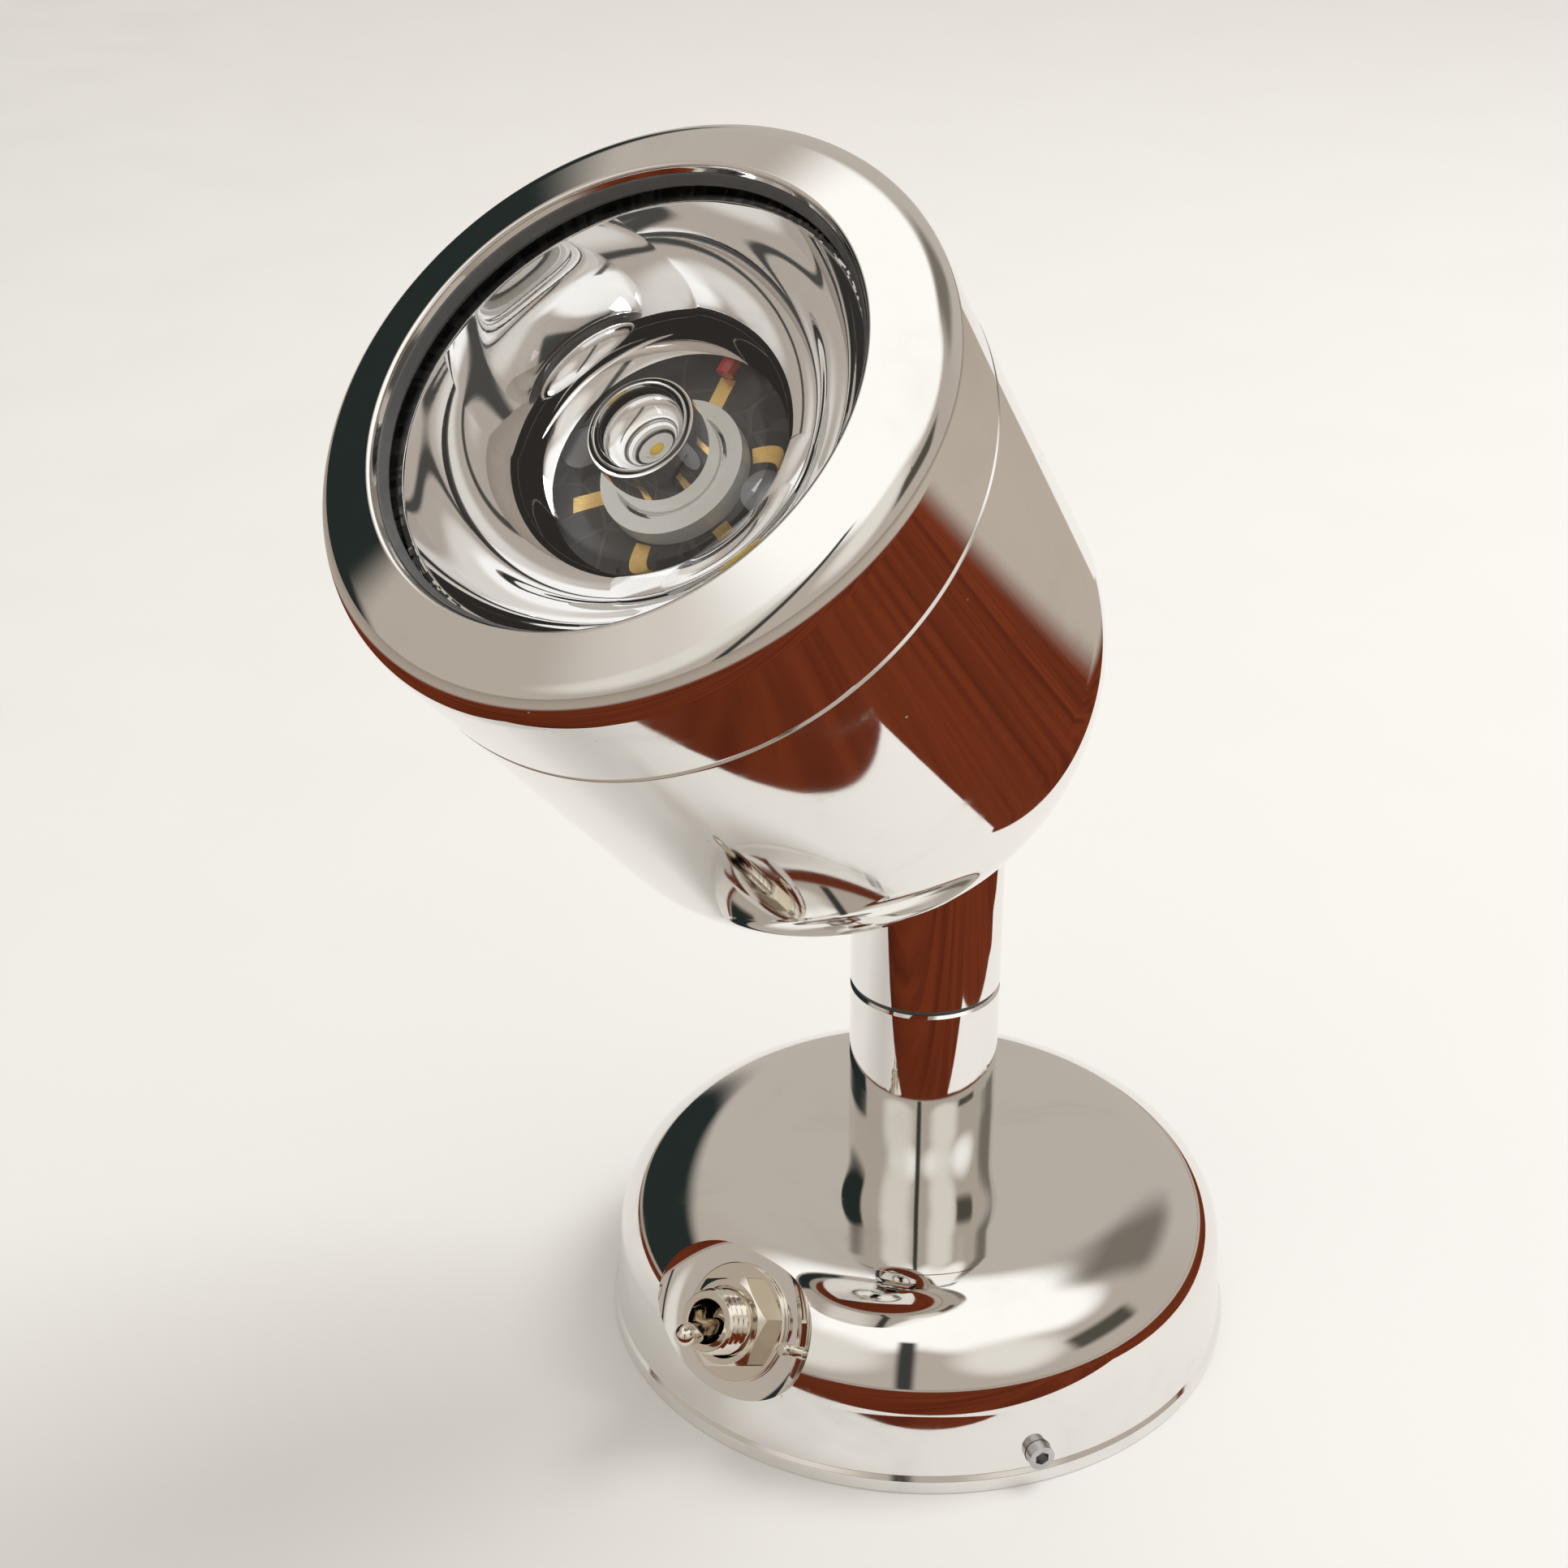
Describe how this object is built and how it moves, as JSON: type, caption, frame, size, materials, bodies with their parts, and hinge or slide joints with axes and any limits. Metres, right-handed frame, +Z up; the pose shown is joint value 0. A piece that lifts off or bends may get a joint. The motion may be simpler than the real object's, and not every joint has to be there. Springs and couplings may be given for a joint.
{
  "type": "reading light",
  "caption": "Small chrome reading light: round wall base with a toggle switch, a short swivelling stem and a bullet-shaped spot head that tilts on a slotted fork.",
  "frame": {"origin": "centre of the base on the mounting surface, where the cable comes through the plate", "axes": "+Z up the stem, away from the mounting surface; the head faces -Y at rest, and the tilt axis lies along X"},
  "size_m": [0.06, 0.0906, 0.1183],
  "materials": {
    "chrome": "mirror polished chrome plate",
    "nickel": "warm bright nickel plate",
    "steel": "bright zinc-plated steel",
    "plate": "plain pressed steel",
    "aluminium": "turned aluminium",
    "washer_plastic": "natural acetal",
    "brass": "plain brass",
    "lens_clear": "clear moulded acrylic",
    "gasket": "clear silicone rubber",
    "seal": "black nitrile rubber",
    "black_tube": "matt black moulding",
    "white_ring": "white moulding",
    "black_board": "black solder mask",
    "gold_pad": "gold-plated pads",
    "led_white": "white ceramic",
    "phosphor": "yellow phosphor under clear silicone",
    "green_board": "green solder mask",
    "dark_parts": "moulded components",
    "switch_red": "red phenolic",
    "terminal_white": "ivory polyamide",
    "wire_red": "red insulation",
    "wire_black": "black insulation"
  },
  "bodies": {
    "base": {"base_cover": "chrome", "mounting_plate": "plate", "set_screw": "steel", "lower_stem": "chrome", "foot_stud": "brass", "stem_washer": "steel", "stem_nut": "steel", "switch_case": "switch_red", "switch_bushing": "nickel", "switch_washer": "nickel", "switch_lock_washer": "steel", "switch_nut": "nickel", "switch_terminals": "brass", "terminal_block": "terminal_white", "terminal_clamps": "brass", "feed_wire": "wire_red", "live_wire": "wire_red", "return_wire": "wire_black"},
    "lever": {"switch_lever": "nickel"},
    "arm": {"upper_stem": "chrome", "swivel_spindle": "brass", "swivel_washer": "washer_plastic", "spring_washer": "steel", "retaining_ring": "steel", "stop_pin": "steel", "pivot_screw": "steel", "tilt_washers": "brass"},
    "head": {"head_knuckle": "chrome", "knuckle_washer": "steel", "knuckle_nut": "steel", "head_shell": "chrome", "bezel": "chrome", "bezel_seal": "seal", "lens": "lens_clear", "lens_gasket": "gasket", "lens_spacer": "black_tube", "heat_sink": "aluminium", "led_board": "black_board", "board_pads": "gold_pad", "board_screws": "steel", "emitter": "led_white", "emitter_dome": "phosphor", "locator_ring": "white_ring", "driver_board": "green_board", "driver_parts": "dark_parts", "driver_spacers": "brass", "driver_screws": "steel", "head_wire_red": "wire_red", "head_wire_black": "wire_black", "led_wire_red": "wire_red", "led_wire_black": "wire_black"}
  },
  "joints": [
    {"name": "stem_swivel", "type": "hinge", "parent": "base", "child": "arm", "pos_m": [0, 0, 0.0355], "axis": [0, 0, 1], "range_deg": [-165, 165]},
    {"name": "head_tilt", "type": "hinge", "parent": "arm", "child": "head", "pos_m": [0, 0, 0.0547], "axis": [1, 0, 0], "range_deg": [-130, 46]},
    {"name": "switch_toggle", "type": "hinge", "parent": "base", "child": "lever", "pos_m": [-0.00327, -0.02663, 0.01122], "axis": [-0.9925, 0.1219, 0], "range_deg": [0, 24]}
  ]
}
